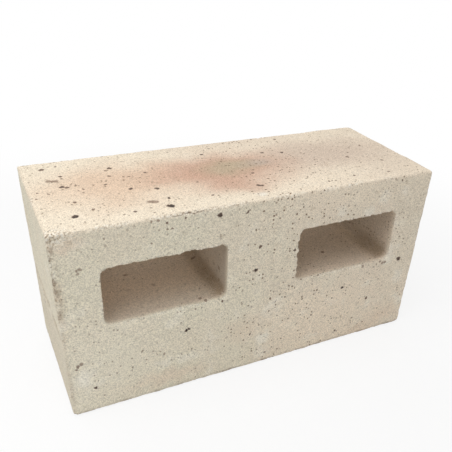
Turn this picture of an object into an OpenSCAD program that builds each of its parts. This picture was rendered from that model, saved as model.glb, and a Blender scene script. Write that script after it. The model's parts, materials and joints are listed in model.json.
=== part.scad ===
// Cored clay brick, lying on one of its long sides.
// X runs along the length, Y through the cores and Z up.
// The origin is the middle of the face that it rests on.

/* [Brick] */
// Length, end to end
brick_length = 230; // [200:1:300]
// Height as it lies, across the faces that the cores open into
brick_height = 115; // [90:1:160]
// Depth, from one cored face to the other
brick_depth = 90; // [50:1:140]
// Radius of the eased arrises, the brick's outer edges
arris_radius = 1; // [0.4:0.1:3]

/* [Cores] */
// Width of a core, along the brick
core_width = 69; // [30:0.5:80]
// Height of a core
core_height = 34; // [15:0.5:60]
// Radius in the corners of a core
core_corner_radius = 4; // [0.5:0.5:7]
// Clay between a core and the nearer end
end_wall = 23; // [12:0.5:40]
// Clay between the cores and the upper side
upper_wall = 23.5; // [12:0.5:45]

/* [Hidden] */
$fn = 64;

// Clay left between the two cores
core_web = brick_length - 2 * (end_wall + core_width);
// Middle of a core, measured from the middle of the brick and from the resting face
core_offset = (core_web + core_width) / 2;
core_level = brick_height - upper_wall - core_height / 2;
// How far a core's cutter runs out past each cored face
cutter_overrun = 5;
fired_clay = [0.83, 0.78, 0.69];

// A rectangle with round corners, centred on the origin
module rounded_rectangle(size, radius) {
    inner = [size.x - 2 * radius, size.y - 2 * radius];
    square([inner.x, size.y], center = true);
    square([size.x, inner.y], center = true);
    for (sx = [-1, 1], sy = [-1, 1])
        translate([sx * inner.x / 2, sy * inner.y / 2]) circle(radius);
}

// The shape without its cores: each arris is round because the block is what
// its plan, its front and its end views have in common
module block() {
    intersection() {
        linear_extrude(brick_height, center = true)
            rounded_rectangle([brick_length, brick_depth], arris_radius);
        rotate([90, 0, 0]) linear_extrude(brick_depth, center = true)
            rounded_rectangle([brick_length, brick_height], arris_radius);
        rotate([90, 0, 90]) linear_extrude(brick_length, center = true)
            rounded_rectangle([brick_depth, brick_height], arris_radius);
    }
}

// One core, open at both cored faces
module core() {
    rotate([90, 0, 0]) linear_extrude(brick_depth + 2 * cutter_overrun, center = true)
        rounded_rectangle([core_width, core_height], core_corner_radius);
}

// The brick, fired in one piece
module brick() {
    color(fired_clay) difference() {
        translate([0, 0, brick_height / 2]) block();
        for (side = [-1, 1]) translate([side * core_offset, 0, core_level]) core();
    }
}

brick();
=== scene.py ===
"""Looks of a cored clay brick: worn arrises, chips, pits, iron spots and the kiln's flash on top.

Lengths are in millimetres until a value goes to Blender, which works in metres.
"""
import json
import math

import bmesh
import bpy
import numpy as np
from mathutils import Matrix, Vector
from mathutils.kdtree import KDTree


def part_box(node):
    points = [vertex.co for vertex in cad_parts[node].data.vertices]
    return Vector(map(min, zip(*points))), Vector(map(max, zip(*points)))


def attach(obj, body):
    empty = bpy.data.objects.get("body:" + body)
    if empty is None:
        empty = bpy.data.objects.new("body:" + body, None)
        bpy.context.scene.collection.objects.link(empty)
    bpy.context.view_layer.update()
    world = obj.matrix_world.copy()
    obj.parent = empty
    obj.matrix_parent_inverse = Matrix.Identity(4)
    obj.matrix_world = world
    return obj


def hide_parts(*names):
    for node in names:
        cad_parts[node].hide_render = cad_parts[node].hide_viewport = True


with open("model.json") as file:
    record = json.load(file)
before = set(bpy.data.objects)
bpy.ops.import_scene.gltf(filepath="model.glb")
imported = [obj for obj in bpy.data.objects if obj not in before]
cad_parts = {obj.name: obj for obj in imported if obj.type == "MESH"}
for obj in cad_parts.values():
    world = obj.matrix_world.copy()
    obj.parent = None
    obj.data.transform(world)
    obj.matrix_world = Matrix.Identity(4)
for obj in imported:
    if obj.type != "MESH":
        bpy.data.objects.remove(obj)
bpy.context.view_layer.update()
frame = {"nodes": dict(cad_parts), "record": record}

MM = 0.001
# Each kind of noise adds a number of its own to this seed
SEED = 7

# The brick's own sizes, from the frame
LOW, HIGH = (np.array(corner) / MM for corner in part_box("brick"))
MIDDLE, HALF = (LOW + HIGH) / 2, (HIGH - LOW) / 2
# The record states each core as a box that stays this far from the core's walls
OPENING_CLEARANCE = 1.5
CORE_CORNER_RADIUS = 4


def core_boxes():
    """The middle and the half size of each core, across X and Z"""
    boxes = []
    for opening in frame["record"]["physics"]["openings"]:
        low, high = (np.array(corner)[[0, 2]] / MM for corner in opening["box_m"])
        boxes.append(((low + high) / 2, (high - low) / 2 + OPENING_CLEARANCE))
    return boxes


CORES = core_boxes()

# How finely the surface is modelled
VOXEL = 0.6
MOST_TRIANGLES = 190_000
# The scene's surface stays this far inside the solid's box
BOX_MARGIN = 0.02
# Corners of the solid's mesh this close together are one
WELD = 0.001
# The distance to the worn brick is taken to change at least this fast, also where faces meet
LEAST_SLOPE = 0.3
# A length that is divided by counts as at least this
TINY = 1e-6

# Widths over which the edges are eased, how much they vary, as a share, and the size of the patches
ARRIS_EASE = 1.6
MOUTH_EASE = 0.8
EASE_VARIATION = 0.6
EASE_PATCH = 5
# A mouth is eased more along the core's floor, and in a band above it
FLOOR_EASE = 2.6
FLOOR_BAND = 6

# Chips that stand out, each with its radius and its depth after its place.
# On corners, given as 0 or 1 for the low or the high end along X, Y and Z
CORNER_CHIPS = [
    ((0, 0, 1), 3.0, 1.7), ((1, 0, 1), 7, 1.9), ((1, 0, 0), 5, 1.5), ((0, 0, 0), 3.4, 1.5),
    ((1, 1, 1), 8, 1.6),
]
# Along the front's upper and lower arrises, by X
UPPER_CHIPS = [
    (-87, 1.8, 0.8), (-84, 1.5, 0.7), (-75, 2.2, 0.8), (-68, 2.0, 1.0), (-61, 2.4, 1.1), (-50, 3.6, 1.0),
    (-45, 4.5, 1.1), (-39, 3.4, 0.9), (-32, 2.2, 0.8), (16, 2.6, 0.8), (21, 1.8, 0.8), (96, 2.6, 0.8),
]
LOWER_CHIPS = [(-102, 2.0, 0.8), (-83, 1.4, 0.6), (-19, 1.4, 0.6), (33, 1.4, 0.6), (99, 1.8, 0.6)]
# Up its left and right arrises, by Z
LEFT_CHIPS = [
    (107, 1.5, 0.8), (97, 1.9, 0.9), (90, 2.6, 1.2), (84, 2.1, 1.1), (78, 2.6, 1.2), (73, 1.8, 0.9),
    (67, 2.2, 1.0), (39, 2.0, 0.8), (12, 2.2, 1.0),
]
RIGHT_CHIPS = [(102, 2.0, 0.7), (74, 2.2, 0.7), (42, 2.0, 0.6)]
# Round the cores' mouths in the front, by X and Z
FRONT_MOUTH_CHIPS = [
    (23, 82, 3.2, 1.8), (23, 75, 2.4, 1.4), (23, 70, 2.0, 1.2), (25.5, 91, 1.3, 0.6), (91, 90.5, 2.0, 1.0),
    (60, 91.5, 1.5, 0.8), (-88, 57.5, 1.4, 0.6), (-77, 91.5, 1.5, 1.0), (-75, 91.5, 1.2, 0.9),
    (-66, 91.5, 1.6, 0.9), (-58, 91.5, 1.2, 0.8), (-47, 91.5, 1.4, 0.8), (-25, 90.5, 1.8, 0.8),
]

# A crease across the left end: its height at the back and at the front, its half width and depth
CREASE_LEVELS = (49, 52)
CREASE_WIDTH = 2.3
CREASE_DEPTH = 1.5
# It fades out towards the front over this length, to this share
CREASE_FADE = 14
CREASE_LEAST = 0.3
# Its course swings in long waves and in short ones, and its width varies: the size of each, and how far
CREASE_WAVES = ((12, 1.3), (3.5, 0.6))
CREASE_WIDENING = (7, 0.5)
# It is stronger in patches: their size, middle, contrast and least
CREASE_STRENGTHS = (9, 0.85, 0.6, 0.3)
# Points whose outward direction has less than this along X are on the left end
FACING_LEFT = -0.9
# Edges crumble in patches: the band that crumbles, the size and contrast of crumbs, the depth between them
CRUMBLE_BAND = 2.4
CRUMB_SIZE = 1.4
CRUMB_CONTRAST = 2
CRUMBLE_DEPTH = 0.9
# The patches' size, middle, contrast and least, and how much narrower the band is round the mouths
CRUMBLE_PATCHES = (9, 0.25, 1.6, 0)
MOUTH_NARROWING = 1.6
# The front's left arris has crumbled most: at its upper end, how far along X, along Y and down, and how
# strongly, where 1 is right through; and between which heights below that
CRUMBLED_REACH = (10, 5, 6)
CRUMBLED_STRENGTH = 1.6
CRUMBLED_ARRIS = (64, 112)
# Where the front's upper arris has crumbled too, along X
CRUMBLED_LIP = (-66, -28)
# How far from those two arrises the crumbling reaches
CRUMBLED_WIDTH = 4
# The clay dragged as the cores were cut, which left their mouths ragged: depth, spacing and reach
DRAG_DEPTH = 1.4
DRAG_SPACING = 2.1
DRAG_REACH = 3
# The shares of the marks and of finer ones between them, and their patches: size, middle, contrast and least
DRAG_SHARES = (0.7, 0.5)
DRAG_PATCHES = (14, 0.5, 0.8, 0.1)
# The walls that dragged least still show this share of them
LEAST_DRAG = 0.15
# Points this close to a core's wall belong to it
WALL_BAND = 1.2
# The most worn edges keep this far from the foot and from the right end
WORN_MARGIN = 6
# Elsewhere, the shares that are left of the ease's variation and of the crumbling
LESS_VARIATION = 0.4
LESS_CRUMBLING = 0.3

# Random chips: the shallowest as a share of the deepest, how rare the deep ones are, and the radii in depths
SHALLOWEST_CHIP = 0.12
CHIP_RARITY = 4
CHIP_RADII = (1.3, 3.5)
# The distance between them and the deepest: on the most worn arrises, on the others and round the mouths
WORN_CHIPS = (2.2, 0.9)
OTHER_CHIPS = (2.6, 0.35)
MOUTH_CHIPS = (3.0, 0.7)
# How ragged a chip is, as a share of its radius, and the sizes of its rags
CHIP_RAGS = 0.16
CHIP_RAG_SIZES = (2.2, 1.1)
# Points are looked for this far out, in radii, because some have moved since they were sorted
CHIP_SEARCH = 1.5
# Pits: how many, the smallest and the largest radius, how rare the large ones are, and the depth in radii
PIT_COUNT = 1600
PIT_RADII = (0.7, 1.6)
PIT_RARITY = 4
PIT_DEPTH = 0.35
# The faces aren't quite flat: the sizes of their swells, lumps and grain, and how high they stand
RELIEF = [(30, 0.12), (5, 0.07), (1.8, 0.05)]
# The surface lies this far in, so that what stands out of it stays inside the box
SURFACE_INSET = 0.2


def noise(points, size, seed):
    """Smooth noise from -1 to 1 whose lumps are about this size"""
    cells = (points - LOW) / size + 1
    corner = np.floor(cells).astype(int)
    share = cells - corner
    share = share * share * (3 - 2 * share)
    count = np.ceil((HIGH - LOW) / size).astype(int) + 4
    lattice = np.random.default_rng(seed).uniform(-1, 1, count)
    corner = np.clip(corner, 0, count - 2)
    total = np.zeros(len(points))
    for step in np.ndindex(2, 2, 2):
        weight = np.prod(np.where(step, share, 1 - share), axis=1)
        total += weight * lattice[tuple((corner + step).T)]
    return total


def patchy(points, seed, size, middle, contrast, least):
    """How much there is of something from patch to patch, by noise, up to 1"""
    return np.clip(middle + contrast * noise(points, size, seed), least, 1)


def smooth_max(a, b, ease):
    """The larger of two distances, with the edge where they meet eased over a width"""
    near = np.maximum(ease - np.abs(a - b), 0) / ease
    return np.maximum(a, b) + near * near * ease / 4


def core_distance(points):
    """Distance to the nearest core's wall, negative inside the core"""
    nearest = np.full(len(points), np.inf)
    for middle, half in CORES:
        out = np.abs(points[:, [0, 2]] - middle) - half + CORE_CORNER_RADIUS
        beyond = np.linalg.norm(np.maximum(out, 0), axis=1)
        nearest = np.minimum(nearest, beyond + np.minimum(out.max(axis=1), 0) - CORE_CORNER_RADIUS)
    return nearest


def worn_distance(points, wear):
    """Distance to the brick with its edges eased, negative inside the clay"""
    out = np.abs(points - MIDDLE) - HALF
    block = smooth_max(smooth_max(out[:, 0], out[:, 1], ARRIS_EASE * wear), out[:, 2], ARRIS_EASE * wear)
    floor = CORES[0][0][1] - CORES[0][1][1]
    mouth_ease = np.interp(points[:, 2], (floor, floor + FLOOR_BAND), (FLOOR_EASE, MOUTH_EASE))
    return smooth_max(block, -core_distance(points), mouth_ease * wear)


def outward_slope(points, wear, step=0.02):
    """The direction in which the distance to the worn brick grows, and how fast it does"""
    slope = np.empty_like(points)
    for axis in range(3):
        shift = np.zeros(3)
        shift[axis] = step
        rise = worn_distance(points + shift, wear) - worn_distance(points - shift, wear)
        slope[:, axis] = rise / (2 * step)
    steepness = np.maximum(np.linalg.norm(slope, axis=1), LEAST_SLOPE)
    return slope / steepness[:, None], steepness


def settle(points, wear, rounds=4):
    """Moves points onto the brick with its edges eased, and returns them with their outward directions"""
    for _ in range(rounds):
        outward, steepness = outward_slope(points, wear)
        points = points - outward * (worn_distance(points, wear) / steepness)[:, None]
    return points, outward


def block_edges():
    """The twelve arrises, each as its start, its end and the direction out of the clay"""
    edges = []
    for axis in range(3):
        for side in np.ndindex(2, 2):
            start, end, out = LOW.copy(), HIGH.copy(), np.zeros(3)
            others = [a for a in range(3) if a != axis]
            for other, far in zip(others, side):
                start[other] = end[other] = (LOW, HIGH)[far][other]
                out[other] = 2 * far - 1
            edges.append((start, end, out / math.sqrt(2)))
    return edges


def mouth_edges():
    """The edges round both ends of each core, in the same form"""
    edges = []
    for (x, z), (half_x, half_z) in CORES:
        for y, facing in ((LOW[1], -1), (HIGH[1], 1)):
            for side in (-1, 1):
                level = z + side * half_z
                out = np.array([0, facing, -side]) / math.sqrt(2)
                edges.append((np.array([x - half_x, y, level]), np.array([x + half_x, y, level]), out))
                along = x + side * half_x
                out = np.array([-side, facing, 0]) / math.sqrt(2)
                edges.append((np.array([along, y, z - half_z]), np.array([along, y, z + half_z]), out))
    return edges


def chips_along(edges, spacing, deepest, rng):
    """Ragged balls that bite into edges at random places, as their middles and radii"""
    chips = []
    for start, end, out in edges:
        for _ in range(round(np.linalg.norm(end - start) / spacing)):
            depth = deepest * (SHALLOWEST_CHIP + (1 - SHALLOWEST_CHIP) * rng.random() ** CHIP_RARITY)
            radius = depth * rng.uniform(*CHIP_RADII)
            place = start + (end - start) * rng.random()
            chips.append((place + out * (radius - depth), radius))
    return chips


def large_chip_places():
    """Where the chips that stand out lie, as X, Y and Z, with the radius and the depth of each"""
    (left, front, foot), (right, _, top) = LOW, HIGH
    places = [(*np.where(corner, HIGH, LOW), *chip) for corner, *chip in CORNER_CHIPS]
    places += [(x, front, top, *chip) for x, *chip in UPPER_CHIPS]
    places += [(left, front, z, *chip) for z, *chip in LEFT_CHIPS]
    places += [(x, front, foot, *chip) for x, *chip in LOWER_CHIPS]
    places += [(right, front, z, *chip) for z, *chip in RIGHT_CHIPS]
    return places + [(x, front, z, *chip) for x, z, *chip in FRONT_MOUTH_CHIPS]


def large_chips():
    """The chips that stand out, as the middles and radii of ragged balls"""
    places = np.array(large_chip_places())
    middles, radii, depths = places[:, :3], places[:, 3], places[:, 4]
    outward, _ = outward_slope(middles, 1, step=0.5)
    return list(zip(middles + outward * (radii - depths)[:, None], radii))


def drag_marks(points, outward):
    """How far the drag marks at the mouths raise or sink each point of a core's wall"""
    across = points * [1, 0, 1] + [0, LOW[1], 0]
    strength = patchy(across, SEED + 10, *DRAG_PATCHES)
    # The cores' ceilings dragged most, and so did the left wall of the right core
    dragged = np.maximum(-outward[:, 2], np.where(points[:, 0] > 0, outward[:, 0], 0))
    on_wall = (np.abs(core_distance(points)) < WALL_BAND) * np.maximum(dragged, LEAST_DRAG)
    on_wall = on_wall * np.exp((np.abs(points[:, 1] - MIDDLE[1]) - HALF[1]) / DRAG_REACH)
    marks = DRAG_SHARES[0] * noise(across, DRAG_SPACING, SEED + 11)
    marks += DRAG_SHARES[1] * noise(across, DRAG_SPACING / 2, SEED + 12)
    return DRAG_DEPTH * strength * marks * on_wall


def most_worn(points):
    """Whether each point is on the front half, clear of the foot and of the right end"""
    off_foot = points[:, 2] > LOW[2] + WORN_MARGIN
    return (points[:, 1] < MIDDLE[1]) & off_foot & (points[:, 0] < HIGH[0] - WORN_MARGIN)


def crumble(points):
    """How far the edges have crumbled at each point, from 0 to 1"""
    out = np.abs(points - MIDDLE) - HALF
    from_arris = -np.sort(out, axis=1)[:, 1]
    from_mouth = np.maximum(np.abs(core_distance(points)), -out[:, 1])
    from_edge = np.minimum(from_arris, MOUTH_NARROWING * from_mouth)
    near_edge = np.clip(1 - from_edge / CRUMBLE_BAND, 0, 1)
    patches = patchy(points, SEED + 8, *CRUMBLE_PATCHES) * np.where(most_worn(points), 1, LESS_CRUMBLING)
    x, y, z = points.T
    down = (z > CRUMBLED_ARRIS[0]) & (z < CRUMBLED_ARRIS[1]) & (x < LOW[0] + CRUMBLED_WIDTH)
    along = (x > CRUMBLED_LIP[0]) & (x < CRUMBLED_LIP[1]) & (z > HIGH[2] - CRUMBLED_WIDTH)
    patches = np.where((down | along) & (y < LOW[1] + CRUMBLED_WIDTH), 1, patches)
    arm = (points - np.array([LOW[0], LOW[1], HIGH[2]])) / np.array(CRUMBLED_REACH)
    corner = np.exp(-np.sum(arm * arm, axis=1))
    return np.maximum(near_edge * patches, np.clip(CRUMBLED_STRENGTH * corner, 0, 1))


def bite(points, tree, chips):
    """Moves the points that lie inside each chip's ragged ball out to its surface"""
    chipped = np.zeros(len(points))
    coarse, fine = CHIP_RAG_SIZES
    raggedness = CHIP_RAGS * noise(points, coarse, SEED + 6) + CHIP_RAGS * noise(points, fine, SEED + 7)
    for middle, radius in chips:
        near = [index for _, index, _ in tree.find_range(middle, radius * CHIP_SEARCH)]
        if not near:
            continue
        arm = points[near] - middle
        reach = np.linalg.norm(arm, axis=1)
        ragged = radius * (1 + raggedness[near])
        inside = reach < ragged
        moved = middle + arm * (ragged / np.maximum(reach, TINY))[:, None]
        points[near] = np.where(inside[:, None], moved, points[near])
        chipped[near] = np.maximum(chipped[near], inside)
    return chipped


def scatter(count, rng):
    """Random points all over the block's faces"""
    areas = np.prod(HIGH - LOW) / (HIGH - LOW)
    axis = rng.choice(3, count, p=areas / areas.sum())
    points = rng.uniform(LOW, HIGH, (count, 3))
    row = np.arange(count)
    points[row, axis] = np.where(rng.random(count) < 0.5, LOW[axis], HIGH[axis])
    return points


def pits(points, outward, tree, rng):
    """Sinks small pits into the faces and returns how deep each point lies in one, from 0 to 1"""
    sunk = np.zeros(len(points))
    smallest, largest = PIT_RADII
    for middle in scatter(PIT_COUNT, rng):
        radius = smallest + (largest - smallest) * rng.random() ** PIT_RARITY
        near = [index for _, index, _ in tree.find_range(middle, radius)]
        if near:
            far = np.linalg.norm(points[near] - middle, axis=1) / radius
            hollow = np.clip(1 - far * far, 0, 1)
            points[near] -= outward[near] * (hollow * radius * PIT_DEPTH)[:, None]
            sunk[near] = np.maximum(sunk[near], hollow)
    return sunk


def crease(points, outward):
    """How far each point lies in the crease across the left end, from 0 to 1"""
    share = (HIGH[1] - points[:, 1]) / (HIGH[1] - LOW[1])
    level = CREASE_LEVELS[0] + (CREASE_LEVELS[1] - CREASE_LEVELS[0]) * share
    (long, swing), (short, small_swing) = CREASE_WAVES
    level = level + swing * noise(points, long, SEED + 4) + small_swing * noise(points, short, SEED + 13)
    size, widening = CREASE_WIDENING
    across = (points[:, 2] - level) / (CREASE_WIDTH * (1 + widening * noise(points, size, SEED + 14)))
    strength = patchy(points, SEED + 5, *CREASE_STRENGTHS)
    strength = strength * np.clip((points[:, 1] - LOW[1]) / CREASE_FADE, CREASE_LEAST, 1)
    return np.exp(-across * across) * (outward[:, 0] < FACING_LEFT) * strength


def search_tree(points):
    """The points, sorted so that those near a place are found quickly"""
    tree = KDTree(len(points))
    for index, point in enumerate(points):
        tree.insert(point, index)
    tree.balance()
    return tree


def evaluated_mesh(piece):
    """The piece's mesh with its modifiers applied"""
    return bpy.data.meshes.new_from_object(piece.evaluated_get(bpy.context.evaluated_depsgraph_get()))


def fine_mesh(node):
    """A fine, even mesh of a CAD node"""
    mesh = node.data.copy()
    shape = bmesh.new()
    shape.from_mesh(mesh)
    bmesh.ops.remove_doubles(shape, verts=shape.verts, dist=WELD * MM)
    shape.to_mesh(mesh)
    shape.free()
    piece = bpy.data.objects.new("clay_brick", mesh)
    bpy.context.scene.collection.objects.link(piece)
    remesh = piece.modifiers.new("fine", "REMESH")
    remesh.mode = "VOXEL"
    remesh.voxel_size = VOXEL * MM
    piece.data = evaluated_mesh(piece)
    piece.modifiers.clear()
    return piece


def thin_out(piece):
    """Brings the triangles down to the allowed number, where the surface is flattest first"""
    triangles = sum(len(polygon.vertices) - 2 for polygon in piece.data.polygons)
    if triangles > MOST_TRIANGLES:
        decimate = piece.modifiers.new("thin", "DECIMATE")
        decimate.ratio = MOST_TRIANGLES / triangles
        decimate.use_collapse_triangulate = True
        piece.data = evaluated_mesh(piece)
        piece.modifiers.clear()


def store(mesh, name, values):
    """Keeps one number for each vertex, for the material to read"""
    mesh.attributes.new(name, "FLOAT", "POINT").data.foreach_set("value", values)


def random_chips(rng):
    """Chips all along the arrises and round the mouths of the cores"""
    worn, others = [], []
    for edge in block_edges():
        middle = (edge[0] + edge[1]) / 2
        (worn if most_worn(middle[None])[0] else others).append(edge)
    chips = chips_along(worn, *WORN_CHIPS, rng) + chips_along(others, *OTHER_CHIPS, rng)
    return chips + chips_along(mouth_edges(), *MOUTH_CHIPS, rng)


def surface_relief(points, outward, creased, crumbled):
    """How far each point stands out of the eased surface, or lies below it"""
    relief = np.zeros(len(points))
    for number, (size, height) in enumerate(RELIEF, 1):
        relief += height * noise(points, size, SEED + number)
    relief -= CREASE_DEPTH * creased
    relief -= CRUMBLE_DEPTH * crumbled * np.clip(CRUMB_CONTRAST * noise(points, CRUMB_SIZE, SEED + 9), 0, 1)
    return relief + drag_marks(points, outward) - SURFACE_INSET


def weathered_brick():
    """The brick as it lies: eased and chipped edges, pits and a surface that isn't quite flat"""
    rng = np.random.default_rng(SEED)
    piece = fine_mesh(frame["nodes"]["brick"])
    points = np.empty(len(piece.data.vertices) * 3)
    piece.data.vertices.foreach_get("co", points)
    points = points.reshape(-1, 3) / MM
    variation = EASE_VARIATION * np.where(most_worn(points), 1, LESS_VARIATION)
    points, outward = settle(points, 1 + variation * noise(points, EASE_PATCH, SEED))
    tree = search_tree(points)
    sunk = pits(points, outward, tree, rng)
    crumbled = crumble(points)
    chipped = bite(points, tree, random_chips(rng) + large_chips())
    creased = crease(points, outward)
    points += outward * surface_relief(points, outward, creased, crumbled)[:, None]
    points = np.clip(points, LOW + BOX_MARGIN, HIGH - BOX_MARGIN)
    piece.data.vertices.foreach_set("co", (points * MM).ravel())
    store(piece.data, "chipped", chipped)
    store(piece.data, "sunk", sunk)
    store(piece.data, "creased", creased)
    store(piece.data, "crumbled", crumbled)
    thin_out(piece)
    piece.data.shade_smooth()
    return piece


class Nodes:
    """Short calls that add shader nodes to one node tree"""

    def __init__(self, tree):
        self.tree = tree
        tree.nodes.clear()

    def add(self, kind, inputs=None, **settings):
        node = self.tree.nodes.new("ShaderNode" + kind)
        for name, value in settings.items():
            setattr(node, name, value)
        for key, value in (inputs or {}).items():
            self.set(node.inputs[key], value)
        return node

    def set(self, socket, value):
        if isinstance(value, bpy.types.NodeSocket):
            self.tree.links.new(value, socket)
        else:
            socket.default_value = value

    def math(self, operation, a, b=0.0, clamp=False):
        return self.add("Math", {0: a, 1: b}, operation=operation, use_clamp=clamp).outputs[0]

    def times(self, *factors):
        """The product of masks and numbers"""
        product = factors[0]
        for factor in factors[1:]:
            product = self.math("MULTIPLY", product, factor)
        return product

    def flat(self, along, across):
        """A place on a face, from its two coordinates there"""
        return self.add("CombineXYZ", {0: along, 1: across}).outputs[0]

    def vector(self, operation, a, b=(0, 0, 0)):
        return self.add("VectorMath", {0: a, 1: b}, operation=operation)

    def ramp(self, value, start, end, low=0.0, high=1.0):
        """Goes smoothly from low to high while the value goes from start to end"""
        keys = {"Value": value, "From Min": start, "From Max": end, "To Min": low, "To Max": high}
        return self.add("MapRange", keys, interpolation_type="SMOOTHSTEP").outputs[0]

    def mix(self, share, a, b, blend="MIX"):
        """Colour a, with a share of colour b over it"""
        node = self.add("Mix", {0: share, 6: a, 7: b}, data_type="RGBA", blend_type=blend)
        return node.outputs[2]

    def shade(self, colour, level):
        """The colour, made darker or lighter by a factor"""
        grey = self.add("CombineColor", {0: level, 1: level, 2: level}).outputs[0]
        return self.mix(1.0, colour, grey, "MULTIPLY")

    def drift(self, place, size, reach):
        """The place, moved about by noise"""
        swing = self.noise(place, size).outputs["Color"]
        swing = self.vector("SUBTRACT", swing, (0.5, 0.5, 0.5)).outputs[0]
        swing = self.vector("MULTIPLY", swing, (reach, reach, reach)).outputs[0]
        return self.vector("ADD", place, swing).outputs[0]

    def stored(self, name):
        """A number that the mesh keeps for each vertex"""
        return self.add("Attribute", attribute_name=name).outputs["Fac"]

    def noise(self, place, size, detail=2.0):
        return self.add("TexNoise", {"Vector": place, "Scale": 1 / size, "Detail": detail})

    def cloud(self, place, size, detail=2.0):
        """Noise from 0 to 1 whose lumps are about this size"""
        return self.noise(place, size, detail).outputs[0]

    def patches(self, place, size, detail, span):
        """Soft patches, where noise of this size and detail passes through a span"""
        return self.ramp(self.cloud(place, size, detail), *span)


# Colours of the clay, as linear light
CLAY = (0.77, 0.715, 0.57, 1)
CLAY_PALE = (0.85, 0.79, 0.65, 1)
CLAY_ROSY = (0.78, 0.68, 0.545, 1)
CREAM = (0.895, 0.77, 0.61, 1)
PEACH = (0.75, 0.56, 0.41, 1)
PINK = (0.585, 0.35, 0.25, 1)
DUSKY = (0.64, 0.51, 0.41, 1)
FLASH_HEART = (0.525, 0.43, 0.3, 1)
FLASH_GREY = (0.56, 0.475, 0.4, 1)
BLUSH = (0.78, 0.63, 0.49, 1)
# Browner clay for the cores, also darkened as painted shade
CORE_CLAY_AND_SHADE = (0.64, 0.535, 0.425, 1)
# Dark brown for painted shade in the cores' corners and low on the left end, and for dirt and painted shade
# in the crease
DIRT_AND_SHADE_BROWN = (0.35, 0.26, 0.17, 1)
RUST = (0.58, 0.42, 0.28, 1)
DUST = (0.92, 0.88, 0.78, 1)
# Dark brown of specks, pores and grime, also used for painted shade in the pits, between crumbs, round the
# foot and in the crack
SPECK_AND_SHADE_BROWN = (0.24, 0.17, 0.115, 1)
IRON_HALO = (0.24, 0.155, 0.105, 1)
IRON = (0.13, 0.09, 0.07, 1)
SOOT = (0.03, 0.025, 0.02, 1)

# Blots of the kiln's flash on the upper side, and two dusky ones that darken it at the right end and along
# the back: colour, middle and reach along X and Y, and strength
FLASH_BLOTS = [
    (PEACH, (-68, 2), (60, 40), 0.9),
    # Painted shade: the upper side darker at its right end
    (DUSKY, (95, -14), (46, 44), 0.3),
    # Darker along the back of the upper side
    (DUSKY, (15, 44), (70, 12), 0.3),
    (DUSKY, (58, 6), (74, 34), 0.75),
    (PINK, (-4, 1), (56, 38), 0.9),
    (PINK, (-33, 4), (38, 22), 0.4),
    (PINK, (-8, -20), (26, 14), 0.5),
    (FLASH_HEART, (0, 3), (26, 17), 0.9),
    (FLASH_GREY, (17, 4), (14, 11), 0.6),
    (DUST, (0, -34), (6, 5), 0.6),
]

# Stains and blooms on the front: colour, middle and reach along X and Z, and strength
FRONT_BLOTS = [
    (BLUSH, (98, 11), (18, 10), 0.6),
    (BLUSH, (82, 4), (16, 6), 0.5),
    (BLUSH, (-58, 10), (34, 9), 0.5),
    (BLUSH, (-10, 30), (18, 12), 0.4),
    (BLUSH, (-106, 108), (12, 7), 0.5),
    (DUST, (2, 19), (7, 5), 0.6),
    (DUST, (-107, 25), (9, 8), 0.6),
]

# Iron spots on the upper side: the distance from the left end and from the back, width and strength
TOP_SPOTS = [
    (12, 11, 3.8, 0.65), (20, 9, 1.6, 0.7), (20, 24, 2.4, 0.75), (13, 28.6, 4, 0.5), (16, 29.6, 4.2, 0.5),
    (14.5, 29, 4, 0.55), (18, 38, 3.2, 0.8), (20.4, 39.6, 2.8, 0.65), (25, 38, 1.6, 0.7), (5, 42, 1.6, 0.8),
    (20, 59, 2.4, 0.6), (56.8, 72.2, 4, 0.55),
    (17, 75, 3.6, 0.95), (48, 21, 3.2, 0.8), (45, 32, 2.6, 0.6), (40, 43, 2, 0.7), (51, 53, 2.6, 0.85),
    (65, 34, 2.4, 0.7), (64, 57, 2.8, 0.85), (55.6, 72, 3.8, 0.5), (58, 72.4, 4, 0.5), (66, 71, 2.4, 0.9),
    (64, 80, 4.4, 0.95), (45, 80, 2.8, 0.65), (88, 56, 1.6, 0.7), (89, 75, 2, 0.7), (118, 72, 3, 0.85),
    (120, 73, 2.6, 0.75), (106, 18, 2.2, 0.8), (144, 27, 2.4, 0.8), (156, 31, 2.6, 0.8), (133, 37, 1.6, 0.6),
    (164, 7, 2.6, 0.8), (192, 52, 2.6, 0.6), (197, 45, 1.8, 0.6), (210, 64, 2.4, 0.6), (178, 79, 2.2, 0.6),
    (202, 81, 2, 0.6), (123, 55, 2.2, 0.7), (23, 36, 1.7, 0.6), (28, 45, 1.8, 0.55), (25, 46, 1.6, 0.5),
    (34, 41, 1.7, 0.55), (45, 24, 1.8, 0.55), (52, 36, 1.6, 0.55), (55, 36, 1.8, 0.6), (51, 40, 1.7, 0.5),
    (27, 70, 1.8, 0.6), (40, 71, 1.6, 0.55), (10, 45, 1.6, 0.55), (3, 49, 2, 0.5), (12, 26, 1.8, 0.45),
    (20, 27, 1.8, 0.55), (27, 49, 1.7, 0.5), (80, 19, 1.6, 0.5),
]
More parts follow.
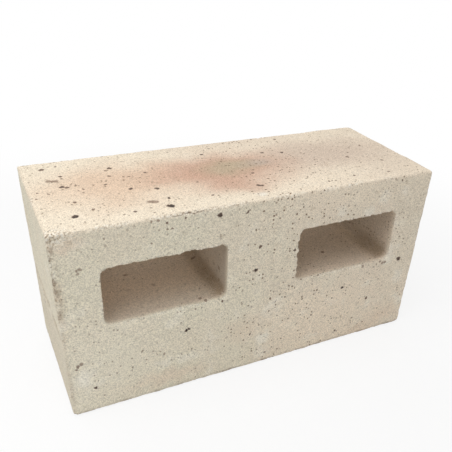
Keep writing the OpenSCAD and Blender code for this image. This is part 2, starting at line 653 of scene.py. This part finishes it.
# Iron spots on the front: the distance from the left end and below the upper side, width and strength
FRONT_SPOTS = [
    (12, 21.4, 2, 0.5), (13.6, 21, 2, 0.5), (12.2, 23, 1.8, 0.45), (87, 5, 2.8, 0.9), (103, 6, 1.8, 0.8),
    (112, 29, 1.9, 0.7), (110, 44, 2.9, 1), (67.6, 74.4, 2.2, 1), (69.4, 73.8, 1.8, 1), (6, 80, 2.6, 0.55),
    (8, 79, 2.6, 0.5), (5, 82, 1.6, 0.6), (14, 98, 1.8, 0.8), (109, 90, 1.8, 0.8), (120, 108, 2.4, 0.5),
    (174, 72, 2.4, 0.95), (196, 86, 2.7, 0.8), (217, 60, 3.6, 0.85), (174, 107, 1.8, 0.7),
    (90, 60, 1.6, 0.7), (135, 36, 2, 0.8),
    (206, 3, 1.6, 0.7), (50, 2, 1.8, 0.5), (54, 2, 1.6, 0.5), (58, 4, 1.6, 0.7), (68, 3, 1.8, 0.7),
    (61, 8, 1.4, 0.6), (204, 60.5, 2.6, 0.5), (202, 59, 2, 0.5), (199, 60, 2, 0.45), (206, 60, 2, 0.5),
    (188, 59.5, 2, 0.5),
]
# Iron spots on the cores' floors: the distance from the left end and from the front, width and strength
FLOOR_SPOTS = [
    (46, 44, 3.4, 0.4), (58, 28, 3.2, 0.4), (58, 21, 2.6, 0.35), (43, 28, 2.4, 0.3), (90, 46.5, 3, 0.6),
    (78, 5, 2.4, 0.5), (80, 2, 2, 0.5), (45, 9, 2.2, 0.3), (172, 23, 2.8, 0.6), (150, 8, 2.6, 0.35),
]
# Iron spots on the left core's right wall: from the front and below the upper side, width and strength
WALL_SPOTS = [(19, 46, 2.8, 0.35), (12, 45, 2.8, 0.45), (14.5, 48.5, 2.4, 0.4), (11.5, 52.5, 3, 0.4)]

# Where four numbers stand together below, they are where something starts and ends, and its values there.
# Noise from 0 to 1 lies mostly between these
NOISE_SPAN = (0.3, 0.7)
# The fine and the coarse grain: the size of the lumps, and how dark and how light they make the clay
FINE_GRAIN = 0.6
FINE_SHADES = (*NOISE_SPAN, 0.78, 1.18)
COARSE_GRAIN = 1.8
COARSE_SHADES = (*NOISE_SPAN, 0.96, 1.03)
# The bump: shares of the coarse grain and of the pores beside the fine grain, strength and height
COARSE_RELIEF = 0.8
PORE_RELIEF = 0.5
BUMP_STRENGTH = 0.75
BUMP_HEIGHT = 0.3
# The roughness of bare clay and of an iron spot, and the gloss of both
ROUGHNESS = (0.95, 0.7)
GLOSS = 0.25

# How deep below the face that it is on something begins, and is full
FLASH_DEPTHS = (3, 0.5)
TOP_SPECK_DEPTHS = (1.5, 0.5)
STAIN_DEPTHS = (2, 0.8)
CRACK_DEPTHS = (3, 2)
SPOT_DEPTHS = (4, 2.5)
END_LOW_SHADE_DEPTHS = (3, 1)
# Iron spots without set places begin, and are full, this deep behind the front and below the upper side
UNSEEN_DEPTHS = (1, 3)
# Distances from a core's walls, negative inside it, at which its own clay, specks and iron spots change over
CORE_CLAY_SPAN = (0.8, 0.1)
CORE_SPECK_SPAN = (-0.5, 0.5)
CORE_SPOT_SPAN = (2.5, 1.5)
# Spots on a floor come in this far below the core's middle, and those on a wall this far to each side of it
FLOOR_SPAN = (8, 12)
WALL_SPAN = (5, 3)

# Patches in the clay: their size, the detail in them, and the noise that brings them in with their share
ROSY_PATCHES = (45, 3, (0.35, 0.65, 0, 0.4))
DUSTY_PATCHES = (14, 4, (0.56, 0.7, 0, 0.35))
PALE_PATCHES = (7, 4, (0.45, 0.75, 0, 0.3))
# The clay is rosier to the right, by this share
ROSY_SHARE = 0.7
# It is paler at the lower left, along X and down Z
PALE_ALONG = (-40, -90)
PALE_DOWN = (75, 40)
PALE_SHARE = 0.4
# It is cream to the right, less so at the very end, below the cores and above them
CREAM_ALONG = (-20, 30)
CREAM_END = (60, 100, 1.0, 0.4)
CREAM_BELOW = (60, 35)
CREAM_ABOVE = (94, 106)
CREAM_SHARE = 0.5
# The upper side is cream all over, under the flash
TOP_CREAM_SHARE = 0.7
# How the outlines of the blots wander, as size and reach, and where a blot begins and is full, in reaches
FLASH_WANDER = (24, 24)
FRONT_WANDER = (9, 14)
BLOT_FADE = (1.1, 0.1)

# The clay in the cores, by depth from the front: the share of its own colour, and factors on that colour
CORE_SHARE = (0, 5, 0.3, 1.0)
# Painted light and shade: factors on the cores' colour by depth, not the same in each core
LEFT_CORE_PAINTED_LIGHT = (2, 28, 0.94, 1.2)
LEFT_CORE_FAR_PAINTED_SHADE = (28, 50, 1.0, 0.9)
RIGHT_CORE_PAINTED_LIGHT = (0, 12, 1.1, 1.02)
# Painted light and shade: the right core is lighter towards its right end, along X, and each core darker
# close to its right wall
RIGHT_END_PAINTED_LIGHT = (75, 91, 1.0, 1.15)
WALL_PAINTED_SHADE = (0.5, 2.5, 0.8, 1.0)
# Painted shade in the corner at the right of each floor, by depth: where it sets in, its share and its reach
CORNER_SHADE_START = (1, 6)
LEFT_CORNER_SHADE = (25, 42, 0.98, 0.8)
RIGHT_CORNER_SHADE = (22, 40, 0.85, 0.35)
LEFT_CORNER_SHADE_REACH = 9
RIGHT_CORNER_SHADE_REACH = (8, 30, 13, 9)

# Shares of colour in chips, of painted shade in pits, and of dust on crumbs and painted shade between them,
# by the noise that is their grain
CHIP_SHARE = 0.25
PIT_SHADE_SHARE = 0.14
CRUMB_GRAIN = 1.3
CRUMB_DUST = (0.52, 0.44, 0, 0.8)
CRUMB_GAP_SHADE = (0.54, 0.62, 0, 0.7)
# Dirt and painted shade in the crease: the size of its patches, their detail, and the noise that brings them
# in with their share
CREASE_DIRT_AND_SHADE_PATCHES = (3, 4, (0.35, 0.65, 0.6, 1.0))
# Rust and grime on the front's left arris: how far they reach from it, in what patches and how high up
RUST_REACH = (7, 0.5)
RUST_PATCHES = (9, 3, (0.4, 0.7))
RUST_LEVELS = (45, 70, 0.12, 0.4)
GRIME_REACH = (5, 0.5)
GRIME_PATCHES = (2.4, 4, (0.47, 0.57))
GRIME_FADE = 10
GRIME_SHARE = 0.7
GRIME_TOP_SHARE = 0.3
# Painted shade low on the left end, and round the foot: its height, how far in from the upright faces, its
# patches
END_LOW_SHADE = (65, 35, 0.03, 0.2)
FOOT_SHADE_HEIGHT = (3, 0.8)
FOOT_SHADE_RIM = (4, 1.5)
FOOT_SHADE_PATCHES = (6, 3, (0.4, 0.6, 0.15, 0.6))
# The crack is painted shadow: a dark line, not cut into the clay
# A crack under the upper front arris, where a flake has lifted: both ends along X, its drop, its width and
# where it fades out, in widths from its middle
CRACK_ENDS = (-55, -35)
CRACK_DROP = 1.2
CRACK_WIDTH = 0.2
CRACK_FADE = (1.5, 0.5)
# The length of its waves, how far they swing, how it thins at its ends, and its share
CRACK_WAVE = 5
CRACK_SWING = 0.5
CRACK_TAPER = 3
CRACK_SHADOW_SHARE = 0.75

# Specks, as the distance between them and the radius of the widest
PALE_SPECKS = (1.9, 0.4)
PORES = (2.1, 0.8)
SPECKS = (5.5, 0.95)
TOP_SPECKS = (3.6, 0.95)
UNSEEN_IRON = (21, 2.6)
# Most specks are small, by this power of chance, and fade from their radius to this share of it
SPECK_RARITY = 1.5
SPECK_CORE = 0.65
# Their shares of colour; pores are fainter away from the web between the cores
PALE_SPECK_SHARE = 0.45
PORE_SHARES = (0.75, 1.0)
SPECK_SHARE = 0.65
# Steps to another stretch of the same pattern, so that two kinds of speck don't fall together
PALE_STEP = (50, 0, 0)
TOP_STEP = (0, 50, 0)
# Pores and specks crowd in patches and round the web, along X, and more specks lie on the upper side's left
CROWDS = (16, 3, (0.4, 0.62, 0.35, 1.0))
WEB_START = (-35, 0)
WEB_END = (35, 85, 1.0, 0.35)
TOP_CROWD = (-20, -60)
# The share of them that shows in the left core and in the right one
CORE_SPECKS = (0.3, 0.6)
# Rags at the edges of specks and of iron spots: size and reach
SPECK_RAGS = (1.1, 0.9)
SPOT_RAGS = (2.6, 2.4)
# An iron spot begins and is full at these shares of its width, and the fine grain breaks it up
DOT_FADE = (0.6, 0.3)
IRON_GRAIN = (0.3, 0.6, 0.68, 1.0)
# Its layers from the rim in: colour, and the strength of the spot that brings it in with its share
IRON_LAYERS = [(IRON_HALO, (0.05, 0.6, 0, 0.8)), (IRON, (0.35, 0.75, 0, 0.95)), (SOOT, (0.72, 0.92, 0, 0.9))]


def clay_material():
    """Fired clay, with what the kiln, the cutting and wear have left on it"""
    material = bpy.data.materials.new("fired_clay")
    material.use_nodes = True
    n = Nodes(material.node_tree)
    place = n.vector("SCALE", n.add("TexCoord").outputs["Object"])
    place.inputs["Scale"].default_value = 1 / MM
    place = place.outputs[0]
    x, y, z = n.add("SeparateXYZ", {0: place}).outputs
    ragged = n.drift(place, *SPECK_RAGS)
    fine_grain = n.cloud(place, FINE_GRAIN)
    coarse_grain = n.cloud(place, COARSE_GRAIN, detail=3)

    colour = body_colour(n, place, x, z)
    colour = add_flash(n, colour, place, y, z)
    colour = add_core_tint_and_painted_shade(n, colour, x, y, z)
    colour = add_edge_wear_and_shade(n, colour, place)
    colour = add_arris_stains(n, colour, place, x, y, z)
    colour = add_end_and_foot_shade(n, colour, place, x, y, z)
    colour = add_crack_shadow(n, colour, x, y, z)
    colour = n.shade(colour, n.ramp(fine_grain, *FINE_SHADES))
    colour = n.shade(colour, n.ramp(coarse_grain, *COARSE_SHADES))
    colour, pores = add_specks(n, colour, place, ragged, x, z)
    iron = n.math("MAXIMUM", iron_mask(n, n.drift(ragged, *SPOT_RAGS)), unseen_iron(n, ragged, y, z))
    iron = n.times(iron, n.ramp(fine_grain, *IRON_GRAIN))
    for tint, layer in IRON_LAYERS:
        colour = n.mix(n.ramp(iron, *layer), colour, tint)

    pitted = n.math("SUBTRACT", fine_grain, n.times(pores, PORE_RELIEF))
    height = n.math("ADD", n.times(coarse_grain, COARSE_RELIEF), pitted)
    bump = n.add("Bump", {"Strength": BUMP_STRENGTH, "Distance": BUMP_HEIGHT * MM, "Height": height})
    skin = n.add("BsdfPrincipled", {"Base Color": colour, "Normal": bump.outputs[0]})
    n.set(skin.inputs["Roughness"], n.ramp(iron, 0, 1, *ROUGHNESS))
    skin.inputs["Specular IOR Level"].default_value = GLOSS
    n.add("OutputMaterial", {"Surface": skin.outputs[0]})
    return material


def near_top(n, z, far, near):
    """Comes in between two depths below the upper side"""
    return n.ramp(z, HIGH[2] - far, HIGH[2] - near)


def near_front(n, y, far, near):
    """Comes in between two depths behind the front"""
    return n.ramp(y, LOW[1] + far, LOW[1] + near)


def by_core(n, x, left, right):
    """One value in the left core and another in the right one, changing over inside the web"""
    (middle_x, _), half = CORES[1]
    web = middle_x - half[0]
    return n.ramp(x, -web, web, left, right)


def body_colour(n, place, x, z):
    """The clay itself, which varies from patch to patch, rosier to the right and paler off the cores"""
    to_right = n.ramp(x, LOW[0] / 2, HIGH[0] / 2, 0, ROSY_SHARE)
    rosy = n.math("ADD", n.patches(place, *ROSY_PATCHES), to_right, clamp=True)
    colour = n.mix(rosy, CLAY, CLAY_ROSY)
    low_left = n.times(n.ramp(x, *PALE_ALONG), n.ramp(z, *PALE_DOWN), PALE_SHARE)
    colour = n.mix(low_left, colour, CLAY_PALE)
    above_and_below = n.math("MAXIMUM", n.ramp(z, *CREAM_BELOW), n.ramp(z, *CREAM_ABOVE))
    right = n.times(n.ramp(x, *CREAM_ALONG), n.ramp(x, *CREAM_END))
    colour = n.mix(n.times(right, above_and_below, CREAM_SHARE), colour, CREAM)
    colour = n.mix(n.patches(place, *DUSTY_PATCHES), colour, DUST)
    return n.mix(n.patches(place, *PALE_PATCHES), colour, CLAY_PALE)


def add_flash(n, colour, place, y, z):
    """The flash that the kiln left on the upper side, which is cream all round it, and the front's stains"""
    upper = near_top(n, z, *FLASH_DEPTHS)
    colour = n.mix(n.times(upper, TOP_CREAM_SHARE), colour, CREAM)
    colour = add_blots(n, colour, n.drift(place, *FLASH_WANDER), upper, FLASH_BLOTS)
    x_there, _, z_there = n.add("SeparateXYZ", {0: n.drift(place, *FRONT_WANDER)}).outputs
    front = near_front(n, y, *STAIN_DEPTHS)
    return add_blots(n, colour, n.flat(x_there, z_there), front, FRONT_BLOTS)


def add_blots(n, colour, place, mask, blots):
    """Soft blots of colour on one face: how far each lies along and across it, and how far it reaches"""
    for tint, middle, reach, strength in blots:
        offset = n.vector("SUBTRACT", place, (*middle, 0)).outputs[0]
        shrunk = n.vector("MULTIPLY", offset, (1 / reach[0], 1 / reach[1], 0)).outputs[0]
        far = n.vector("LENGTH", shrunk).outputs["Value"]
        colour = n.mix(n.times(n.ramp(far, *BLOT_FADE, 0, strength), mask), colour, tint)
    return colour


def core_depth(n, x, z):
    """Distance from the nearest core's wall, across X and Z, negative inside the core"""
    (middle_x, middle_z), half = np.abs(CORES[0][0]), CORES[0][1] - CORE_CORNER_RADIUS
    across_x = n.math("ABSOLUTE", n.math("SUBTRACT", n.math("ABSOLUTE", x), middle_x))
    across_z = n.math("ABSOLUTE", n.math("SUBTRACT", z, middle_z))
    out_x = n.math("MAXIMUM", n.math("SUBTRACT", across_x, half[0]), 0.0)
    out_z = n.math("MAXIMUM", n.math("SUBTRACT", across_z, half[1]), 0.0)
    beyond = n.vector("LENGTH", n.flat(out_x, out_z)).outputs["Value"]
    return n.math("SUBTRACT", beyond, CORE_CORNER_RADIUS)


def add_core_tint_and_painted_shade(n, colour, x, y, z):
    """The clay is browner inside the cores, with painted light and shade by depth and near the walls, and
    painted shade along the corner at the right of each floor
    """
    (middle_x, middle_z), half = np.abs(CORES[0][0]), CORES[0][1]
    deep = n.math("SUBTRACT", y, LOW[1])
    right_wall = n.math("ADD", n.times(n.math("SIGN", x), middle_x), half[0])
    from_wall = n.math("SUBTRACT", right_wall, x)
    from_floor = n.math("SUBTRACT", z, middle_z - half[1])
    # Painted light and shade by depth, which differs between the two cores
    left = n.times(n.ramp(deep, *LEFT_CORE_PAINTED_LIGHT), n.ramp(deep, *LEFT_CORE_FAR_PAINTED_SHADE))
    tint = n.shade(CORE_CLAY_AND_SHADE, by_core(n, x, left, n.ramp(deep, *RIGHT_CORE_PAINTED_LIGHT)))
    # Painted light towards the right core's right end, and painted shade near each core's right wall
    tint = n.shade(tint, n.ramp(x, *RIGHT_END_PAINTED_LIGHT))
    tint = n.shade(tint, n.ramp(from_wall, *WALL_PAINTED_SHADE))
    inside = n.times(n.ramp(core_depth(n, x, z), *CORE_CLAY_SPAN), n.ramp(deep, *CORE_SHARE))
    colour = n.mix(inside, colour, tint)
    # Painted shade along the corner at the right of each floor
    share = by_core(n, x, n.ramp(deep, *LEFT_CORNER_SHADE), n.ramp(deep, *RIGHT_CORNER_SHADE))
    reach = by_core(n, x, LEFT_CORNER_SHADE_REACH, n.ramp(deep, *RIGHT_CORNER_SHADE_REACH))
    corner_shade = n.ramp(n.math("ADD", from_wall, from_floor), reach, 0, 0, share)
    return n.mix(n.times(corner_shade, n.ramp(deep, *CORNER_SHADE_START), inside), colour, DIRT_AND_SHADE_BROWN)


def add_edge_wear_and_shade(n, colour, place):
    """Pale chips, dusty crumbs with painted shade in the gaps, painted shade in the pits, and grime and
    painted shade in the crease
    """
    colour = n.mix(n.times(n.stored("chipped"), CHIP_SHARE), colour, CLAY_PALE)
    crumbs = n.cloud(place, CRUMB_GRAIN, detail=3)
    crumbled = n.stored("crumbled")
    colour = n.mix(n.times(crumbled, n.ramp(crumbs, *CRUMB_DUST)), colour, DUST)
    # Painted shade in the gaps between crumbs
    colour = n.mix(n.times(crumbled, n.ramp(crumbs, *CRUMB_GAP_SHADE)), colour, SPECK_AND_SHADE_BROWN)
    # Painted shade in the pits
    colour = n.mix(n.times(n.stored("sunk"), PIT_SHADE_SHARE), colour, SPECK_AND_SHADE_BROWN)
    # Dirt and painted shade in the crease across the left end
    return n.mix(n.times(n.stored("creased"), n.patches(place, *CREASE_DIRT_AND_SHADE_PATCHES)), colour, DIRT_AND_SHADE_BROWN)


def add_arris_stains(n, colour, place, x, y, z):
    """Rust and grime down the front's left arris"""
    from_arris = n.math("ADD", n.math("SUBTRACT", x, LOW[0]), n.math("SUBTRACT", y, LOW[1]))
    rust = n.times(n.ramp(from_arris, *RUST_REACH), n.patches(place, *RUST_PATCHES))
    colour = n.mix(n.times(rust, n.ramp(z, *RUST_LEVELS)), colour, RUST)
    grime = n.times(n.ramp(from_arris, *GRIME_REACH), n.patches(place, *GRIME_PATCHES))
    low, high = CRUMBLED_ARRIS
    upper = n.ramp(z, low, low + GRIME_FADE, 0, GRIME_SHARE)
    upper = n.times(upper, n.ramp(z, high, high - GRIME_FADE, GRIME_TOP_SHARE, 1.0))
    return n.mix(n.times(grime, upper), colour, SPECK_AND_SHADE_BROWN)


def add_end_and_foot_shade(n, colour, place, x, y, z):
    """Painted shade low on the left end and round the foot"""
    far, near = END_LOW_SHADE_DEPTHS
    # Painted shade low on the left end
    on_end = n.ramp(x, LOW[0] + far, LOW[0] + near)
    colour = n.mix(n.times(n.ramp(z, *END_LOW_SHADE), on_end), colour, DIRT_AND_SHADE_BROWN)
    from_end = n.math("SUBTRACT", HALF[0], n.math("ABSOLUTE", x))
    from_side = n.math("MINIMUM", from_end, n.math("SUBTRACT", HALF[1], n.math("ABSOLUTE", y)))
    # Painted shade round the foot
    foot = n.times(n.ramp(z, *FOOT_SHADE_HEIGHT), n.ramp(from_side, *FOOT_SHADE_RIM))
    return n.mix(n.times(foot, n.patches(place, *FOOT_SHADE_PATCHES)), colour, SPECK_AND_SHADE_BROWN)


def add_crack_shadow(n, colour, x, y, z):
    """The crack under the upper front arris, painted as a dark line of shadow, which wanders a little as it
    runs along
    """
    wander = n.cloud(n.flat(x, 0.0), CRACK_WAVE, detail=3)
    level = HIGH[2] - CRACK_DROP
    level = n.ramp(wander, *NOISE_SPAN, level - CRACK_SWING, level + CRACK_SWING)
    away = n.math("ABSOLUTE", n.math("SUBTRACT", z, level))
    start, end = CRACK_ENDS
    ends = n.times(n.ramp(x, start, start + CRACK_TAPER), n.ramp(x, end, end - CRACK_TAPER))
    gone, full = CRACK_FADE
    crack = n.ramp(away, gone * CRACK_WIDTH, full * CRACK_WIDTH)
    return n.mix(n.times(crack, ends, near_front(n, y, *CRACK_DEPTHS), CRACK_SHADOW_SHARE), colour, SPECK_AND_SHADE_BROWN)


def add_specks(n, colour, place, ragged, x, z):
    """Pale specks, dark pores and dark specks, which crowd in places, and the pores by themselves"""
    web = n.times(n.ramp(x, *WEB_START), n.ramp(x, *WEB_END))
    crowding = n.math("MAXIMUM", n.patches(place, *CROWDS), web)
    in_core = by_core(n, x, *CORE_SPECKS)
    crowding = n.times(crowding, n.ramp(core_depth(n, x, z), *CORE_SPECK_SPAN, in_core, 1.0))
    pale = speck_mask(n, n.vector("ADD", ragged, PALE_STEP).outputs[0], *PALE_SPECKS)
    pores = n.times(speck_mask(n, ragged, *PORES), crowding)
    specks = n.times(speck_mask(n, ragged, *SPECKS), crowding)
    more = speck_mask(n, n.vector("ADD", ragged, TOP_STEP).outputs[0], *TOP_SPECKS)
    more = n.times(more, n.ramp(x, *TOP_CROWD), near_top(n, z, *TOP_SPECK_DEPTHS))
    specks = n.math("MAXIMUM", specks, more)
    colour = n.mix(n.times(pale, PALE_SPECK_SHARE), colour, DUST)
    colour = n.mix(n.times(pores, n.ramp(web, 0, 1, *PORE_SHARES)), colour, SPECK_AND_SHADE_BROWN)
    return n.mix(n.times(specks, SPECK_SHARE), colour, SPECK_AND_SHADE_BROWN), pores


def speck_mask(n, place, spacing, largest):
    """Small dots of random size, spread through the clay"""
    cells = n.add("TexVoronoi", {"Vector": place, "Scale": 1 / spacing, "Randomness": 1.0})
    luck = n.add("SeparateColor", {0: cells.outputs["Color"]}).outputs[0]
    radius = n.times(n.math("POWER", luck, SPECK_RARITY), largest / spacing)
    return n.ramp(cells.outputs["Distance"], radius, n.times(radius, SPECK_CORE))


def unseen_iron(n, place, y, z):
    """Iron spots for the sides whose spots have no set places"""
    off_front, off_top = near_front(n, y, *UNSEEN_DEPTHS), near_top(n, z, *UNSEEN_DEPTHS)
    return n.times(speck_mask(n, place, *UNSEEN_IRON), n.times(off_front, off_top))


def iron_mask(n, place):
    """The iron spots of the upper side, the front and the cores, each a soft dot at its own place"""
    x, y, z = n.add("SeparateXYZ", {0: place}).outputs
    from_left = n.math("SUBTRACT", x, LOW[0])
    top = n.flat(from_left, n.math("SUBTRACT", HIGH[1], y))
    front = n.flat(from_left, n.math("SUBTRACT", HIGH[2], z))
    on_top = n.times(dots(n, top, TOP_SPOTS), near_top(n, z, *SPOT_DEPTHS))
    on_front = n.times(dots(n, front, FRONT_SPOTS), near_front(n, y, *SPOT_DEPTHS))
    return n.math("MAXIMUM", n.math("MAXIMUM", on_top, on_front), core_iron_mask(n, x, y, z))


def core_iron_mask(n, x, y, z):
    """The iron spots on the cores' floors and on the wall that the left core has at its right"""
    deep = n.math("SUBTRACT", y, LOW[1])
    floor = n.flat(n.math("SUBTRACT", x, LOW[0]), deep)
    wall = n.flat(deep, n.math("SUBTRACT", HIGH[2], z))
    (middle_x, middle_z), half = CORES[0]
    wall_x = middle_x + half[0]
    near_floor = n.ramp(z, *(middle_z - drop for drop in FLOOR_SPAN))
    far, near = WALL_SPAN
    near_wall = n.times(n.ramp(x, wall_x - far, wall_x - near), n.ramp(x, wall_x + far, wall_x + near))
    on_floor = n.times(dots(n, floor, FLOOR_SPOTS), near_floor)
    on_wall = n.times(dots(n, wall, WALL_SPOTS), near_wall)
    in_core = n.ramp(core_depth(n, x, z), *CORE_SPOT_SPAN)
    return n.times(n.math("MAXIMUM", on_floor, on_wall), in_core)


def dots(n, place, spots):
    """Soft dots on a face: how far each lies along and across it, how wide it is and how strong"""
    begin, full = DOT_FADE
    mask = None
    for along, across, size, strength in spots:
        far = n.vector("DISTANCE", place, (along, across, 0)).outputs["Value"]
        dot = n.ramp(far, begin * size, full * size, 0, strength)
        mask = dot if mask is None else n.math("MAXIMUM", mask, dot)
    return mask


# The photograph's frame is square; the camera's own numbers come from the corners of the brick in it
CAMERA_PLACE = (-137.54, -281.00, 239.55)
CAMERA_AZIMUTH = math.radians(28.19)
CAMERA_FALL = math.radians(32.74)
CAMERA_ROLL = math.radians(3.28)
LENS = 44.61
SENSOR = 36
SHIFT = (-0.0445, 0.1153)
NEAREST_SEEN = 10


def add_camera():
    """The camera, where the photograph was taken from"""
    lens = bpy.data.cameras.new("camera")
    lens.lens, lens.sensor_width = LENS, SENSOR
    lens.shift_x, lens.shift_y = SHIFT
    lens.clip_start = NEAREST_SEEN * MM
    camera = bpy.data.objects.new("camera", lens)
    turn = Matrix.Rotation(-CAMERA_AZIMUTH, 4, "Z") @ Matrix.Rotation(math.pi / 2 - CAMERA_FALL, 4, "X")
    turn = turn @ Matrix.Rotation(CAMERA_ROLL, 4, "Z")
    camera.matrix_world = Matrix.Translation(Vector(CAMERA_PLACE) * MM) @ turn
    bpy.context.scene.collection.objects.link(camera)
    bpy.context.scene.camera = camera


def seen(n):
    """1 for what the camera sees, directly or in a reflection, and 0 for light that falls on the brick"""
    rays = n.add("LightPath").outputs
    direct = n.math("ADD", rays["Is Camera Ray"], rays["Is Glossy Ray"])
    return n.math("ADD", direct, rays["Is Transmission Ray"], clamp=True)


# The light: a pale sky, dimmer to the left and brighter behind, and one large lamp above the left end
SKY_LIGHT = 0.6
DIM_SIDE = (-0.95, -0.25, 0.2)
DIM_SHARE = 0.5
BRIGHT_SIDE = (-0.1, 1, 0.15)
BACK_LIGHT = 0.6
# Cosines of the angles to those two directions at which the sky starts to change, and has changed
DIM_SPAN = (0.35, 0.9)
BRIGHT_SPAN = (0.6, 0.95)
LAMP_WATTS = 2.2
LAMP_WIDTH = 500
LAMP_PLACE = (-300, -120, 620)
FLOOR_COLOUR = (0.93, 0.93, 0.93, 1)
# The floor's own glow, near the brick and beyond the shadow
FLOOR_GLOW = (0.8, 1.0)
SHADOW_REACH = (200, 420)
FLOOR_REACH = 3000


def add_sky():
    """The light all round the brick, in front of which the camera sees plain white"""
    world = bpy.data.worlds.new("sky")
    bpy.context.scene.world = world
    world.use_nodes = True
    n = Nodes(world.node_tree)
    ray = n.add("TexCoord").outputs["Generated"]
    to_left = n.vector("DOT_PRODUCT", ray, Vector(DIM_SIDE).normalized()).outputs["Value"]
    to_back = n.vector("DOT_PRODUCT", ray, Vector(BRIGHT_SIDE).normalized()).outputs["Value"]
    light = n.ramp(to_left, *DIM_SPAN, SKY_LIGHT, SKY_LIGHT * DIM_SHARE)
    light = n.math("ADD", light, n.ramp(to_back, *BRIGHT_SPAN, 0, BACK_LIGHT))
    shown = seen(n)
    strength = n.math("ADD", n.times(light, n.math("SUBTRACT", 1.0, shown)), shown)
    sky = n.add("Background", {"Color": (1, 1, 1, 1), "Strength": strength})
    n.add("OutputWorld", {"Surface": sky.outputs[0]})


def add_lamp():
    """The lamp, aimed at the middle of the brick"""
    lamp = bpy.data.lights.new("lamp", "AREA")
    lamp.energy, lamp.size = LAMP_WATTS, LAMP_WIDTH * MM
    holder = bpy.data.objects.new("lamp", lamp)
    holder.location = Vector(LAMP_PLACE) * MM
    aim = Vector(MIDDLE * MM) - holder.location
    holder.rotation_euler = aim.to_track_quat("-Z", "Y").to_euler()
    bpy.context.scene.collection.objects.link(holder)


def add_floor():
    """A white floor that still takes the brick's shadow"""
    mesh = bpy.data.meshes.new("floor")
    reach = FLOOR_REACH * MM
    corners = [(-reach, -reach, 0), (reach, -reach, 0), (reach, reach, 0), (-reach, reach, 0)]
    mesh.from_pydata(corners, [], [(0, 1, 2, 3)])
    floor = bpy.data.objects.new("floor", mesh)
    bpy.context.scene.collection.objects.link(floor)
    material = bpy.data.materials.new("floor")
    material.use_nodes = True
    n = Nodes(material.node_tree)
    paper = n.add("BsdfDiffuse", {"Color": FLOOR_COLOUR})
    glow = n.add("Emission", {"Color": (1, 1, 1, 1), "Strength": 1.0})
    far = n.vector("LENGTH", n.add("TexCoord").outputs["Object"]).outputs["Value"]
    share = n.times(seen(n), n.ramp(n.times(far, 1 / MM), *SHADOW_REACH, *FLOOR_GLOW))
    blend = n.add("MixShader", {0: share, 1: paper.outputs[0], 2: glow.outputs[0]})
    n.add("OutputMaterial", {"Surface": blend.outputs[0]})
    mesh.materials.append(material)


bpy.context.scene.view_settings.view_transform = "Standard"
brick = weathered_brick()
brick.data.materials.clear()
brick.data.materials.append(clay_material())
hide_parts("brick")
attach(brick, "root")
add_camera()
add_sky()
add_lamp()
add_floor()
